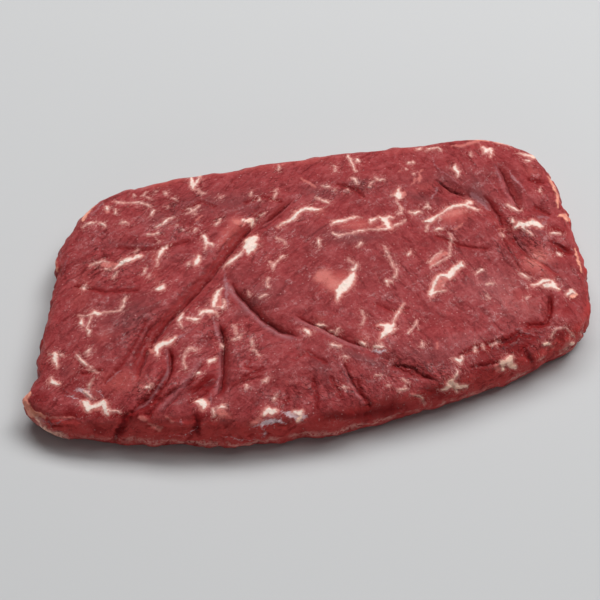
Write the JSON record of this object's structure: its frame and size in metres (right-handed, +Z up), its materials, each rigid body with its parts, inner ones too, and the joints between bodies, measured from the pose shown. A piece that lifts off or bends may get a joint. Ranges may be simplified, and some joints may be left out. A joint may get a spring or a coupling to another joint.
{
  "type": "raw sirloin steak",
  "caption": "Whole raw boneless beef sirloin steak lying flat: a thick slab with muscle seams, folds, an uneven rim and white fat flecks, with a flat underside to rest on.",
  "frame": {"origin": "middle of the steak's box, on the flat underside that it rests on", "axes": "+X along the longest side, towards the end with the heavy right-hand fold; +Y towards the back edge; +Z up out of the cut face"},
  "size_m": [0.2436, 0.1694, 0.0235],
  "materials": {
    "meat": "moist raw red muscle with cream-white fat flecks and pale film"
  },
  "bodies": {
    "root": {"steak": "meat"}
  },
  "joints": []
}
